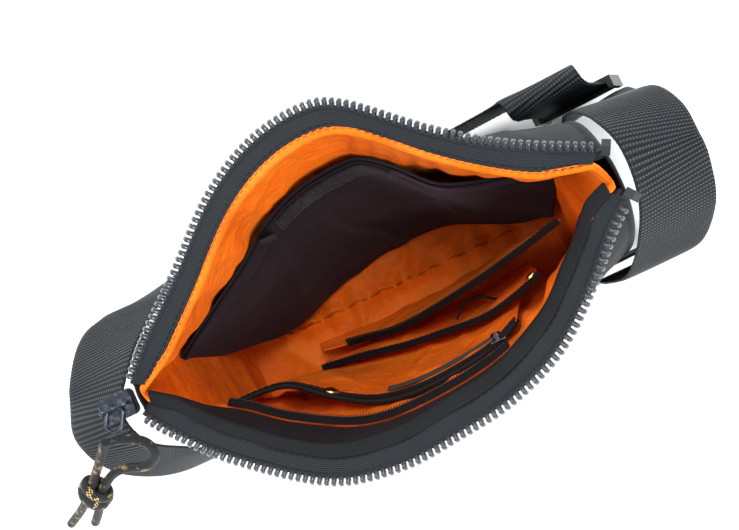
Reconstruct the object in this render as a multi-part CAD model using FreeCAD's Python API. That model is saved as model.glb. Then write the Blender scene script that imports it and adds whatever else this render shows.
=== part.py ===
"""A small zip-top shoulder bag with an orange lining, standing open.

Millimetres.  X runs along the mouth, -X at the slider.  -Y is the front, +Y the back, which
carries the strap.  Z is up, and the origin is the middle of the base, on the surface it stands on.
"""
import FreeCAD
import Part
import math
import os

os.makedirs("parts", exist_ok=True)

# ---------------------------------------------------------------- driving dimensions
BASE_HALF_LENGTH = 98.0
BASE_HALF_DEPTH = 31.0
RIM_HEIGHT = 186.0
RIM_RISE = 0.11            # the mouth line climbs towards +X by this share of X
BELLY_HEIGHT = 70.0
NECK_HEIGHT = 150.0
SHELL = 1.4                # outer fabric with its coating
LINING = 0.8
TAPE = 1.0                 # zip tape
COLLAR = 10.0              # how far the zip tape leans out over its seam
COLLAR_DROP = 7.0
TOOTH_PITCH = 2.85
WEBBING_WIDTH = 38.0
WEBBING = 1.8
CORD = 4.0

# The open mouth, from the slider to the far stops: (x, y) of each chain of teeth.
BACK_MOUTH = [(-109, 2), (-92, 19), (-68, 38), (-44, 58), (-20, 70), (4, 73), (20, 67),
              (46, 43), (70, 25), (103, 7)]
FRONT_MOUTH = [(-109, -4), (-97, -20), (-79, -39), (-47, -62), (-19, -68), (7, -66), (31, -62),
               (55, -52), (76, -35), (92, -19), (104, -10)]


# ---------------------------------------------------------------- small vector tools
def mix(a, b, share):
    return tuple(p + (q - p) * share for p, q in zip(a, b))


def plus(a, b, scale=1.0):
    return tuple(p + q * scale for p, q in zip(a, b))


def minus(a, b):
    return tuple(p - q for p, q in zip(a, b))


def cross(a, b):
    return (a[1] * b[2] - a[2] * b[1], a[2] * b[0] - a[0] * b[2], a[0] * b[1] - a[1] * b[0])


def dot(a, b):
    return sum(p * q for p, q in zip(a, b))


def unit(a):
    size = math.sqrt(dot(a, a))
    return tuple(p / size for p in a)


def vec(a):
    return FreeCAD.Vector(*a)


class Curve:
    """A smooth curve through hand-chosen points, asked for by its share of the length."""

    STEPS = 16

    def __init__(self, points):
        first = tuple(2 * a - b for a, b in zip(points[0], points[1]))
        last = tuple(2 * a - b for a, b in zip(points[-1], points[-2]))
        padded = [first] + list(points) + [last]
        self.points = []
        for i in range(len(points) - 1):
            for step in range(self.STEPS):
                self.points.append(self.between(padded[i:i + 4], step / self.STEPS))
        self.points.append(tuple(points[-1]))
        self.lengths = [0.0]
        for a, b in zip(self.points, self.points[1:]):
            self.lengths.append(self.lengths[-1] + math.dist(a, b))
        self.length = self.lengths[-1]

    @staticmethod
    def between(four, t):
        return tuple(0.5 * (2 * b + (c - a) * t + (2 * a - 5 * b + 4 * c - d) * t * t
                            + (3 * b - a - 3 * c + d) * t ** 3)
                     for a, b, c, d in zip(*four))

    def at(self, share):
        goal = max(0.0, min(1.0, share)) * self.length
        i = 0
        while i < len(self.lengths) - 2 and self.lengths[i + 1] < goal:
            i += 1
        span = self.lengths[i + 1] - self.lengths[i]
        return mix(self.points[i], self.points[i + 1], (goal - self.lengths[i]) / span)


# ---------------------------------------------------------------- the bag's own surfaces
MOUTH = {1: Curve(BACK_MOUTH), -1: Curve(FRONT_MOUTH)}


def rim(side, u):
    """The line of teeth on one side of the mouth."""
    x, y = MOUTH[side].at(u)
    return (x, y, RIM_HEIGHT + RIM_RISE * x)


def seam(side, u, inset=0.0):
    """Where the zip tape is sewn to the panel and the lining: inside and below the teeth."""
    x, y, z = rim(side, u)
    reach = abs(y) - COLLAR * min(1.0, abs(y) / (2 * COLLAR))
    return (x * 0.965, side * (reach - inset), z - COLLAR_DROP)


def bezier(four, t):
    k = 1 - t
    weights = (k ** 3, 3 * k * k * t, 3 * k * t * t, t ** 3)
    return tuple(sum(w * p[i] for w, p in zip(weights, four)) for i in range(3))


def swell(u):
    return max(0.0, math.sin(math.pi * u)) ** 0.6


def shell_wall(side, u, t):
    """Outer fabric: t runs from the base to the zip seam."""
    x, y, z = rim(side, u)
    along = BASE_HALF_LENGTH * (2 * u - 1)
    belly = 34 + 20 * swell(u) if side > 0 else 36 + 26 * swell(u)
    rings = ((along, side * BASE_HALF_DEPTH, 0.9),
             (along * 1.08, side * belly, BELLY_HEIGHT),
             (along * 0.5 + x * 0.52, side * (28 + 0.55 * abs(y)), NECK_HEIGHT + 0.6 * RIM_RISE * x),
             seam(side, u))
    return bezier(rings, t)


def lining_wall(side, u, t):
    """Orange lining: it hangs loose inside the outer fabric, and further in at the ends."""
    x, y, z = rim(side, u)
    along = (BASE_HALF_LENGTH - 3) * (2 * u - 1)
    neck_x = along * 0.55 + x * (0.46 if x < 0 else 0.32)
    rings = ((along, side * (BASE_HALF_DEPTH - 3), 4.0),
             (along * 1.02, side * (29 + 17 * swell(u)), BELLY_HEIGHT),
             (neck_x, side * (14 + 0.72 * abs(y)), NECK_HEIGHT + 0.6 * RIM_RISE * x),
             seam(side, u, 1.9))
    return bezier(rings, t)


def end_wall(wall, end, y_share, t, bulge):
    """The gusset between the front and back edges at one end (0 left, 1 right)."""
    front = wall(-1, end, t)
    back = wall(1, end, t)
    out = -1 if end == 0 else 1
    middle = mix(front, back, y_share)
    return plus(middle, (out, 0, 0), bulge * math.sin(math.pi * y_share) * math.sin(math.pi * t))


# ---------------------------------------------------------------- sheet makers
def normal_at(surface, u, v):
    """Unit normal of a surface given as a function of two shares."""
    step = 0.004
    low_u, high_u = max(0.0, u - step), min(1.0, u + step)
    low_v, high_v = max(0.0, v - step), min(1.0, v + step)
    along = minus(surface(high_u, v), surface(low_u, v))
    up = minus(surface(u, high_v), surface(u, low_v))
    return unit(cross(along, up))


def line(a, b):
    return Part.makeLine(vec(a), vec(b))


def polygon(points):
    closed = [vec(p) for p in points] + [vec(points[0])]
    return Part.makePolygon(closed)


def sheet(surface, low, high, across=12, up=8):
    """A closed cloth solid between two offsets, low and high, from a surface."""
    sections = []
    ends = []
    for i in range(across + 1):
        u = i / across
        near, far = [], []
        for j in range(up + 1):
            v = j / up
            normal = normal_at(surface, u, v)
            near.append(plus(surface(u, v), normal, low))
            far.append(plus(surface(u, v), normal, high))
        sections.append(polygon(near + far[::-1]))
        if i in (0, across):
            ends.append((near, far))
    faces = list(Part.makeLoft(sections, False).Faces)
    for near, far in ends:
        for j in range(up):
            faces.append(Part.makeRuledSurface(line(near[j], near[j + 1]), line(far[j], far[j + 1])))
    shell = Part.makeShell(faces)
    shell.sewShape()
    return Part.makeSolid(shell)


def folded_tape(surface, low, high, width, cloth=0.7, across=16):
    """Binding folded over the top edge of a sheet that lies between offsets low and high."""
    sections = []
    for i in range(across + 1):
        u = i / across
        top = surface(u, 1.0)
        down = unit(minus(surface(u, 0.97), top))
        n = normal_at(surface, u, 1.0)
        inner = (low - 0.4, high + 0.4)
        outer = (inner[0] - cloth, inner[1] + cloth)
        outline = [(outer[0], width), (outer[0], -cloth - 0.6), (outer[1], -cloth - 0.6),
                   (outer[1], width), (inner[1], width), (inner[1], -0.6),
                   (inner[0], -0.6), (inner[0], width)]
        sections.append(polygon([plus(plus(top, n, a), down, b) for a, b in outline]))
    return Part.makeLoft(sections, True)


def ribbon(stations, width, thickness, count):
    """Flat webbing along hand-chosen stations, each a place and the way its width points."""
    places = Curve([place for place, _ in stations])
    shares = []
    for place, _ in stations:
        nearest = min(range(len(places.points)), key=lambda i: math.dist(places.points[i], place))
        shares.append(places.lengths[nearest] / places.length)
    rings = []
    for i in range(count + 1):
        share = i / count
        k = max(j for j in range(len(shares)) if shares[j] <= share + 1e-9)
        k = min(k, len(shares) - 2)
        blend = (share - shares[k]) / (shares[k + 1] - shares[k])
        wide = mix(stations[k][1], stations[k + 1][1], blend * blend * (3 - 2 * blend))
        along = unit(minus(places.at(share + 0.004), places.at(share - 0.004)))
        wide = unit(plus(wide, along, -dot(wide, along)))
        thick = cross(along, wide)
        ring = []
        for a, b in ((-1, -1), (1, -1), (1, 1), (-1, 1)):
            corner = plus(places.at(share), wide, a * width / 2)
            ring.append(plus(corner, thick, b * thickness / 2))
        rings.append(ring)
    return faceted_tube(rings)


def faceted_tube(rings):
    """A closed solid through four-cornered rings, its sides made of flat triangles."""
    faces = [Part.Face(polygon(rings[0])), Part.Face(polygon(rings[-1]))]
    for near, far in zip(rings, rings[1:]):
        for k in range(4):
            j = (k + 1) % 4
            faces.append(Part.Face(polygon([near[k], near[j], far[j]])))
            faces.append(Part.Face(polygon([near[k], far[j], far[k]])))
    shell = Part.makeShell(faces)
    shell.sewShape()
    solid = Part.makeSolid(shell)
    if solid.Volume < 0:
        solid.reverse()
    return solid


def box_at(centre, axes, size):
    """A box round a centre, its sides along the three given directions."""
    block = Part.makeBox(*size, vec([-s / 2 for s in size]))
    turn = FreeCAD.Rotation(vec(axes[0]), vec(axes[1]), vec(axes[2]), "XYZ")
    block.Placement = FreeCAD.Placement(vec(centre), turn)
    return block


def round_bar(points, radius):
    """A round bar along straight runs joined by tangent arcs, with its arc radii."""
    edges = []
    radii = []
    start = points[0]
    for i in range(1, len(points) - 1):
        back = unit(minus(points[i - 1], points[i]))
        on = unit(minus(points[i + 1], points[i]))
        shorter = min(math.dist(points[i - 1], points[i]), math.dist(points[i + 1], points[i]))
        cut = 0.45 * shorter
        half_turn = (math.pi - math.acos(max(-1.0, min(1.0, dot(back, on))))) / 2
        bend = cut / math.tan(half_turn)
        radii.append(round(bend, 1))
        enter = plus(points[i], back, cut)
        leave = plus(points[i], on, cut)
        middle = unit(plus(back, on))
        reach = math.hypot(cut, bend) - bend
        edges.append(line(start, enter))
        edges.append(Part.Arc(vec(enter), vec(plus(points[i], middle, reach)), vec(leave)).toShape())
        start = leave
    edges.append(line(start, points[-1]))
    path = Part.Wire(edges)
    disc = Part.Wire(Part.makeCircle(radius, vec(points[0]), vec(minus(points[1], points[0]))))
    solid = path.makePipeShell([disc], True, True, 2)
    return solid, radii, path.Length


NODES = {}


def keep(name, shape):
    NODES[name] = shape


# ---------------------------------------------------------------- outer fabric
def outer_fabric():
    for side, name in ((1, "back_panel"), (-1, "front_panel")):
        low, high = (-SHELL, 0.0) if side > 0 else (0.0, SHELL)

        def panel(u, v, side=side):
            return shell_wall(side, u, v * 0.985)

        keep(name, sheet(panel, low, high, 14, 8))
    for end, name in ((0, "left_gusset"), (1, "right_gusset")):

        def gusset(u, v, end=end):
            return end_wall(shell_wall, end, 0.03 + 0.94 * u, 0.01 + 0.93 * v, 4.0)

        low, high = (-SHELL - 1.0, -1.0) if end == 0 else (1.0, SHELL + 1.0)
        keep(name, sheet(gusset, low, high, 6, 8))
    base = Part.makeBox(2 * BASE_HALF_LENGTH - 7, 2 * BASE_HALF_DEPTH - 2, SHELL,
                        vec((3.5 - BASE_HALF_LENGTH, 1 - BASE_HALF_DEPTH, 0)))
    upright = [edge for edge in base.Edges if abs(edge.tangentAt(0).z) > 0.9]
    keep("base_panel", base.makeFillet(8, upright))


# ---------------------------------------------------------------- lining
def lining():
    for side, name in ((1, "back_lining"), (-1, "front_lining")):
        low, high = (0.0, LINING) if side > 0 else (-LINING, 0.0)

        def panel(u, v, side=side):
            return lining_wall(side, 0.02 + 0.96 * u, v * 0.985)

        keep(name, sheet(panel, low, high, 14, 8))
    for end, name in ((0, "left_gusset_lining"), (1, "right_gusset_lining")):

        def gusset(u, v, end=end):
            return end_wall(lining_wall, end, 0.08 + 0.84 * u, 0.02 + 0.90 * v, 2.0)

        low, high = (0.2, 0.2 + LINING) if end == 0 else (-LINING - 0.2, -0.2)
        keep(name, sheet(gusset, low, high, 6, 8))
    floor = Part.makeBox(2 * BASE_HALF_LENGTH - 14, 2 * BASE_HALF_DEPTH - 9, LINING,
                         vec((7 - BASE_HALF_LENGTH, 4.5 - BASE_HALF_DEPTH, 2.4)))
    keep("base_lining", floor)


# ---------------------------------------------------------------- main zip
def tape_surface(side, u, v):
    """Zip tape from its seam up and out to the teeth."""
    share = 0.02 + 0.96 * u
    return mix(seam(side, share), rim(side, share), 0.02 + 0.98 * v)


def tooth_frame(side, share):
    step = 0.004
    along = unit(minus(rim(side, share + step), rim(side, share - step)))
    out = unit(minus(rim(side, share), seam(side, share)))
    out = unit(plus(out, along, -dot(out, along)))
    return along, out, cross(along, out)


def main_zip():
    for side, name in ((1, "back"), (-1, "front")):

        def tape(u, v, side=side):
            return tape_surface(side, u, v * 0.83)

        keep(name + "_zip_tape", sheet(tape, -TAPE / 2, TAPE / 2, 24, 2))
        teeth = []
        length = MOUTH[side].length
        count = int((length - 12) / TOOTH_PITCH)
        for i in range(count):
            share = (8 + i * TOOTH_PITCH) / length
            along, out, up = tooth_frame(side, share)
            centre = plus(rim(side, share), out, 0.6)
            teeth.append(box_at(centre, (along, out, up), (1.5, 3.6, 2.6)))
        keep(name + "_zip_teeth", Part.makeCompound(teeth))
    stops = []
    for side in (1, -1):
        along, out, up = tooth_frame(side, 0.99)
        stops.append(box_at(plus(rim(side, 0.992), out, 0.6), (along, out, up), (3.4, 5.0, 3.6)))
    keep("zip_top_stops", Part.makeCompound(stops))


# ---------------------------------------------------------------- slider, pull tab and cord
SLIDER_AT = (-113.5, -1.0, RIM_HEIGHT + RIM_RISE * -109)
SLIDER_LENGTH = 14.0
SLIDER_WIDTH = 11.0
PLATE = 1.5
PLATE_GAP = 3.6
BRIDGE_HEIGHT = 5.2
BRIDGE_REACH = 5.9
WIRE = 0.7                 # radius of the bridge and of the pull wire
PULL_PIN_HEIGHT = PLATE_GAP / 2 + PLATE + 1.1


def slider():
    x, y, z = SLIDER_AT
    parts = []
    for low in (PLATE_GAP / 2, -PLATE_GAP / 2 - PLATE):
        plate = Part.makeBox(SLIDER_LENGTH, SLIDER_WIDTH, PLATE,
                             vec((x - SLIDER_LENGTH / 2, y - SLIDER_WIDTH / 2, z + low)))
        upright = [edge for edge in plate.Edges if abs(edge.tangentAt(0).z) > 0.9]
        parts.append(plate.makeFillet(2.4, upright))
    post = Part.makeCylinder(1.6, PLATE_GAP + 1, vec((x + 3.5, y, z - PLATE_GAP / 2 - 0.5)))
    body = parts[0].fuse([parts[1], post])
    keep("slider_body", body)
    top = z + PLATE_GAP / 2 + PLATE
    arch = [(x - BRIDGE_REACH, y, top + 0.05), (x - BRIDGE_REACH, y, top + BRIDGE_HEIGHT - 0.6),
            (x + BRIDGE_REACH, y, top + BRIDGE_HEIGHT - 0.6), (x + BRIDGE_REACH, y, top + 0.05)]
    bridge, _, _ = round_bar(arch, WIRE)
    keep("slider_bridge", bridge)


PULL_AXIS = (SLIDER_AT[0], SLIDER_AT[1], SLIDER_AT[2] + PULL_PIN_HEIGHT)
PULL_LENGTH = 9.8
PULL_SLOPE = unit((-0.50, -0.84, 0.0))
PULL_SIDE = unit(cross((0, 0, 1), PULL_SLOPE))


def pull_tab():
    """A bent wire loop: its near bar turns under the slider's bridge, the far one holds the cord."""
    half = 3.25
    end = plus(PULL_AXIS, PULL_SLOPE, PULL_LENGTH)
    ring = [plus(PULL_AXIS, PULL_SIDE, 0.1), plus(PULL_AXIS, PULL_SIDE, half),
            plus(end, PULL_SIDE, half), plus(end, PULL_SIDE, -half),
            plus(PULL_AXIS, PULL_SIDE, -half), plus(PULL_AXIS, PULL_SIDE, -0.1)]
    wire, _, _ = round_bar(ring, WIRE)
    keep("pull_tab", wire)


# Each strand of the pull cord: out of the tab, over the strap, and down through the knot.
STRAND_A = [(-118.5, -12.8, 178.0), (-112.0, -15.0, 178.0), (-107.5, -19.5, 176.0),
            (-108.0, -25.5, 173.0), (-114.0, -28.0, 170.0), (-121.5, -25.5, 167.0),
            (-129.0, -24.0, 163.5), (-137.0, -26.5, 158.0), (-145.5, -31.5, 149.0),
            (-152.0, -37.0, 139.5), (-159.5, -41.5, 131.0)]
STRAND_B = [(-123.3, -11.6, 177.6), (-127.0, -14.5, 174.5), (-133.0, -18.5, 168.0),
            (-140.0, -22.5, 159.5), (-148.0, -27.0, 149.5), (-156.0, -31.5, 140.0),
            (-164.5, -35.0, 131.0), (-173.0, -38.0, 123.5)]
KNOT_CENTRE = (-146.8, -29.3, 149.3)
KNOT_AXIS = unit((-8.0, -4.5, -9.5))
KNOT_LENGTH = 13.0
KNOT_RADIUS = 6.6


def pull_cord():
    holes = []
    for name, route in (("pull_cord_a", STRAND_A), ("pull_cord_b", STRAND_B)):
        tube, radii, length = round_bar(route, CORD / 2)
        keep(name, tube)
        holes.append(round_bar(route, CORD / 2 + 0.2)[0])
        share = tube.Volume / (math.pi * CORD * CORD / 4 * length)
        print(name, "length", round(length, 1), "radii", radii, "volume share", round(share, 3))
    foot = plus(KNOT_CENTRE, KNOT_AXIS, -KNOT_LENGTH / 2)
    knot = Part.makeCylinder(KNOT_RADIUS, KNOT_LENGTH, vec(foot), vec(KNOT_AXIS))
    knot = knot.makeFillet(3.5, knot.Edges[0:1] + knot.Edges[2:3])
    keep("pull_knot", knot.cut(holes))


# ---------------------------------------------------------------- pockets on the back wall
BACK_POCKET_TOP = Curve([(-99, 8, 120), (-80, 19, 125), (-53, 34, 130), (-35, 46, 133),
                         (-16, 53, 136), (4, 55, 138), (16, 53, 138), (27, 44, 137),
                         (40, 30, 135), (56, 23, 134), (72, 19, 137), (88, 12, 142)])
BACK_POCKET_FOOT = Curve([(-92, 4, 60), (-60, 4, 18), (-27, 14, 10), (5, 19, 9),
                          (38, 17, 10), (68, 4, 30), (84, -4, 80)])


def back_pocket_surface(u, v):
    """The hanging pocket: its foot rests inside the base, its body sags a little inwards."""
    low, high = BACK_POCKET_FOOT.at(u), BACK_POCKET_TOP.at(u)
    sag = 5.0 * math.sin(math.pi * v) * swell(u)
    return plus(mix(low, high, v), (0, 1, 0), -sag * 0.4)


def back_pocket():
    keep("back_pocket_panel", sheet(back_pocket_surface, 0.0, 0.9, 18, 6))

    def hem(u, v):
        return back_pocket_surface(0.01 + 0.98 * u, 0.90 + 0.09 * v)

    keep("back_pocket_hem", sheet(hem, 1.6, 2.4, 18, 2))

    def hook_strip(u, v):
        return back_pocket_surface(0.37 + 0.29 * u, 0.905 + 0.075 * v)

    keep("hook_strip", sheet(hook_strip, 2.8, 4.0, 10, 2))
    corner = back_pocket_surface(0.345, 0.985)
    keep("corner_tab", box_at(plus(corner, (0, -6.2, 1.5)), ((1, 0, 0), (0, 1, 0), (0, 0, 1)),
                              (6, 1.6, 9)))


# ---------------------------------------------------------------- pockets on the front wall
FACING_FOOT = Curve([(-94, -15, 152), (-75, -26, 150), (-56, -40.5, 150), (-30, -54, 150),
                     (-4, -56.5, 152), (30, -52.5, 155), (54, -42.5, 157), (74, -26, 160),
                     (86, -12, 166)])
ZIP_POCKET_TOP = Curve([(-90, -21, 106), (-74, -21, 104), (-60, -24, 104), (-46, -35, 106),
                        (-28, -46, 109), (-8, -50, 112), (14, -49, 115), (32, -46, 118), (46, -40, 121)])
ZIP_POCKET_FOOT = Curve([(-86, -20, 40), (-50, -26, 12), (0, -27, 10), (40, -27, 12), (62, -24, 30)])
PEN_TOP = Curve([(-54, -24, 34), (-30, -27, 46), (-8, -31, 56), (14, -33, 68), (34, -34, 84),
                 (52, -30, 106), (64, -25, 124)])
PEN_FOOT = Curve([(-54, -22, 9), (0, -23, 7), (40, -22, 9), (66, -19, 30)])
DIVIDER_TOP = Curve([(-52, -16, 22), (-30, -19, 34), (-6, -22, 52), (31, -18, 90),
                     (58, -13, 120), (80, -8, 147)])
DIVIDER_FOOT = Curve([(-54, -12, 7), (-6, -14, 5), (40, -12, 9), (78, -8, 50)])


def between(foot, top, u, v, sag=0.0):
    point = mix(foot.at(u), top.at(u), v)
    return plus(point, (0, 1, 0), sag * math.sin(math.pi * v))


def facing_surface(u, v):
    share = 0.05 + 0.91 * u
    return mix(FACING_FOOT.at(u), seam(-1, share, 5.8), v)


def zip_pocket_surface(u, v):
    return between(ZIP_POCKET_FOOT, ZIP_POCKET_TOP, u, v)


def pen_surface(u, v):
    return between(PEN_FOOT, PEN_TOP, u, v)


def divider_surface(u, v):
    return between(DIVIDER_FOOT, DIVIDER_TOP, u, v)


def pocket_zip_line(u, v):
    """The pocket's zip hangs from the foot of the facing, along its first two thirds."""
    share = 0.08 + 0.62 * u
    foot = facing_surface(share, 0.0)
    return (foot[0], foot[1] + 3.6 + 2.5 * (1 - v), foot[2] - 1.0 - 9.0 * (1 - v))


def front_pockets():
    keep("front_facing", sheet(facing_surface, -3.0, -2.1, 18, 4))
    keep("zip_pocket_panel", sheet(zip_pocket_surface, -0.8, 0.0, 14, 4))
    keep("zip_pocket_binding", folded_tape(zip_pocket_surface, -0.8, 0.0, 6.0))
    keep("pen_panel", sheet(pen_surface, -0.8, 0.0, 12, 4))
    keep("pen_binding", folded_tape(pen_surface, -0.8, 0.0, 3.2))
    keep("divider_panel", sheet(divider_surface, -0.8, 0.0, 12, 4))

    def divider_edge(u, v):
        return divider_surface(0.09 + 0.90 * u, v)

    keep("divider_binding", folded_tape(divider_edge, -0.8, 0.0, 6.0))

    def label(u, v):
        return zip_pocket_surface(0.52 + 0.37 * u, 0.86 + 0.05 * v)

    keep("label_strip", sheet(label, -2.3, -1.4, 8, 1))


def pocket_zip():
    keep("pocket_zip_tape", sheet(pocket_zip_line, -0.5, 0.0, 14, 2))
    coil = []
    for i in range(15):
        point = pocket_zip_line(i / 14, 0.0)
        coil.append(plus(point, (0, 0, 1), -1.2))
    bar, _, _ = round_bar(coil, 1.0)
    keep("pocket_zip_coil", bar)
    x, y, z = pocket_zip_line(0.97, 0.0)
    body = Part.makeBox(7.0, 1.0, 6.0, vec((x - 3.5, y + 2.1, z - 4.2)))
    lug = Part.makeBox(1.6, 3.0, 2.8, vec((x - 0.8, y + 2.6, z - 3.6)))
    pin_hole = Part.makeCylinder(0.8, 4, vec((x - 2, y + 4.2, z - 2.2)), vec((1, 0, 0)))
    keep("pocket_slider", body.makeFillet(0.4, body.Edges).fuse(lug).cut(pin_hole))
    loop = [(x + 0.1, y + 4.2, z - 2.2), (x - 1.7, y + 4.2, z - 2.2), (x - 1.7, y + 5.0, z - 15),
            (x + 1.7, y + 5.0, z - 15), (x + 1.7, y + 4.2, z - 2.2), (x - 0.1, y + 4.2, z - 2.2)]
    pull, _, _ = round_bar(loop, 0.55)
    keep("pocket_pull", pull)


def snaps_and_loop():
    snaps = []
    for surface, u in ((zip_pocket_surface, 0.34), (pen_surface, 0.97)):
        place = surface(u, 0.975)
        out = unit(tuple(-n for n in normal_at(surface, u, 0.95)))
        cap = Part.makeCylinder(3.6, 1.2, vec(plus(place, out, 2.4)), vec(out))
        snaps.append(cap)
    keep("snap_caps", Part.makeCompound(snaps))
    anchor = pen_surface(0.62, 0.9)
    band = [((anchor[0] - 6, anchor[1] + 4.6, anchor[2] - 8), (0, 0, 1)),
            ((anchor[0] - 1, anchor[1] + 9.0, anchor[2] - 6), (0, 0, 1)),
            ((anchor[0] + 7, anchor[1] + 9.6, anchor[2] - 2), (0, 0, 1)),
            ((anchor[0] + 13, anchor[1] + 5.8, anchor[2] + 2), (0, 0, 1))]
    keep("elastic_loop", ribbon(band, 10.0, 1.0, 8))


# ---------------------------------------------------------------- strap
RIGHT_STRAP = [((114, -44, 16), (1, 0, 0)), ((115, -45, 50), (1, 0, 0)),
               ((119.5, -43, 92), (1, 0, -0.15)), ((124.5, -29, 132), (1, -0.05, -0.35)),
               ((128, -12, 150), (1, -0.08, -0.5)), ((129, 5, 153), (1, -0.1, -0.5)),
               ((128.5, 20, 139), (1, -0.12, -0.35)), ((128.5, 31, 106), (1, -0.12, -0.1)),
               ((129, 36, 64), (1, -0.1, 0)), ((130, 39, 32), (1, 0.1, 0)), ((131, 41, 5), (1, 0.15, 0))]
LEFT_STRAP = [((131, 46.5, 9), (0.92, 0, 0.36)), ((125, 46.5, 24), (0.92, 0, 0.36)),
              ((118, 46.5, 41.5), (0.92, 0, 0.36)), ((110, 46.5, 61.5), (0.92, 0, 0.36)),
              ((106.5, 47.6, 69.5), (0.95, 0.05, 0.3)), ((104.8, 50.4, 73.5), (0.97, 0.08, 0.2)),
              ((104, 54, 73.5), (0.99, 0.08, 0.1)), ((103.6, 57, 69), (1, 0.03, 0.03)),
              ((103, 58.2, 61), (1, 0, -0.05)), ((101, 58.5, 50), (0.93, 0, -0.37)),
              ((95, 58.5, 40), (0.72, 0, -0.7)), ((85, 58.5, 33.5), (0.4, 0, -0.92)),
              ((72, 58.3, 30.5), (0.12, 0, -1)), ((50, 58, 26), (0.15, 0, -1)),
              ((20, 57.5, 21.5), (0.08, 0, -1)), ((-35, 57, 20.5), (0, 0, -1)),
              ((-78, 56, 22), (-0.1, 0, -1)),
              ((-103, 53, 34), (-0.6, 0, -0.8)), ((-111, 47, 58), (-1, 0, -0.3)),
              ((-115, 42, 88), (-1, 0.1, -0.25)), ((-119.5, 33, 118), (-0.95, 0.2, -0.4)),
              ((-126, 16, 143), (-0.85, 0.15, -0.5)), ((-133, -2, 151), (-0.8, 0, -0.55)),
              ((-131, -17, 145), (-0.8, 0, -0.6)), ((-124, -30, 120), (-1, 0, -0.4)),
              ((-117, -38, 84), (-1, 0, -0.2)), ((-113, -41, 48), (-1, 0, 0)), ((-113, -41, 16), (-1, 0, 0))]


def strap():
    keep("strap_right", ribbon(RIGHT_STRAP, WEBBING_WIDTH, WEBBING, 36))
    keep("strap_long", ribbon(LEFT_STRAP, WEBBING_WIDTH, WEBBING, 72))


def wings():
    """Nylon tabs sewn into the front gusset seams, under the ends of the strap."""
    for out, name in ((-1, "left_wing"), (1, "right_wing")):
        corners = [(97.6, 12), (132, 12), (132, 46), (100, 66)]
        outline = polygon([(out * x, -37.6, z) for x, z in corners])
        keep(name, Part.Face(outline).extrude(vec((0, 1.4, 0))))


ADJUSTER_AXIS = unit((-21, 0, 52.5))
ADJUSTER_LEAN = (0.92, 0, 0.36)
ADJUSTER_WIDE = unit(plus(ADJUSTER_LEAN, ADJUSTER_AXIS, -dot(ADJUSTER_LEAN, ADJUSTER_AXIS)))
ADJUSTER_AT = (125.0, 46.5, 24.0)


def adjuster():
    """Three-bar slide: the webbing runs under the outer bars and over the middle one."""
    face = cross(ADJUSTER_AXIS, ADJUSTER_WIDE)
    axes = (ADJUSTER_AXIS, ADJUSTER_WIDE, face)
    rail_reach = WEBBING_WIDTH / 2 + 2.3
    parts = []
    for side in (-1, 1):
        parts.append(box_at(plus(ADJUSTER_AT, ADJUSTER_WIDE, side * rail_reach), axes, (22, 3.0, 6.4)))
        bar = plus(plus(ADJUSTER_AT, ADJUSTER_AXIS, side * 9.2), face, 2.3)
        parts.append(box_at(bar, axes, (3.6, 2 * rail_reach, 1.8)))
    parts.append(box_at(plus(ADJUSTER_AT, face, -2.3), axes, (4.4, 2 * rail_reach, 1.8)))
    keep("strap_adjuster", parts[0].fuse(parts[1:]).removeSplitter())


def build():
    outer_fabric()
    lining()
    main_zip()
    slider()
    pull_tab()
    pull_cord()
    back_pocket()
    front_pockets()
    pocket_zip()
    snaps_and_loop()
    strap()
    wings()
    adjuster()
    for name, shape in NODES.items():
        if not shape.isValid() or shape.Volume < 1:
            print("check", name, "valid", shape.isValid(), "volume", round(shape.Volume, 1))
        shape.exportStep("parts/" + name + ".step")
    print(len(NODES), "nodes")


build()
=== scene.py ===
"""A zip-top shoulder bag, standing open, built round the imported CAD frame.

Design sizes are in millimetres, as in the CAD source, and meshes are made in metres.
"""

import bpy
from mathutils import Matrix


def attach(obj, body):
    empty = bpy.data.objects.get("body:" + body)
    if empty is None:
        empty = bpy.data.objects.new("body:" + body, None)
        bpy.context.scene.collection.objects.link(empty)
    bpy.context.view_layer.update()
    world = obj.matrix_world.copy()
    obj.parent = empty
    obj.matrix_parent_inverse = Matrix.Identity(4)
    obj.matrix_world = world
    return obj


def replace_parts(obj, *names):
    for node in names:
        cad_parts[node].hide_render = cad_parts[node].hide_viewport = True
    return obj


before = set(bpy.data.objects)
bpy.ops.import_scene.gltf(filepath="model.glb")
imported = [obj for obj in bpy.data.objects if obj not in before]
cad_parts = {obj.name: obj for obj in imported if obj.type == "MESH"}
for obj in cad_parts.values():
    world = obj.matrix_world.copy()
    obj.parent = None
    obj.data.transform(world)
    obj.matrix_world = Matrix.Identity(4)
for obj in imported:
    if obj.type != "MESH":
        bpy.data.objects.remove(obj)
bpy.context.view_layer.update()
import math
import bpy
from mathutils import Matrix, Vector, noise

MM = 0.001

# ================================================================ the bag's own surfaces
BASE_HALF_LENGTH = 98.0
BASE_HALF_DEPTH = 31.0
RIM_HEIGHT = 186.0
RIM_RISE = 0.11
BELLY_HEIGHT = 70.0
NECK_HEIGHT = 150.0
COLLAR = 10.0
COLLAR_DROP = 7.0
TOOTH_PITCH = 2.85
WEBBING_WIDTH = 38.0

BACK_MOUTH = [(-109, 2), (-92, 19), (-68, 38), (-44, 58), (-20, 70), (4, 73), (20, 67),
              (46, 43), (70, 25), (103, 7)]
FRONT_MOUTH = [(-109, -4), (-97, -20), (-79, -39), (-47, -62), (-19, -68), (7, -66), (31, -62),
               (55, -52), (76, -35), (92, -19), (104, -10)]


def mix(a, b, share):
    return tuple(p + (q - p) * share for p, q in zip(a, b))


def plus(a, b, scale=1.0):
    return tuple(p + q * scale for p, q in zip(a, b))


def minus(a, b):
    return tuple(p - q for p, q in zip(a, b))


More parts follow.
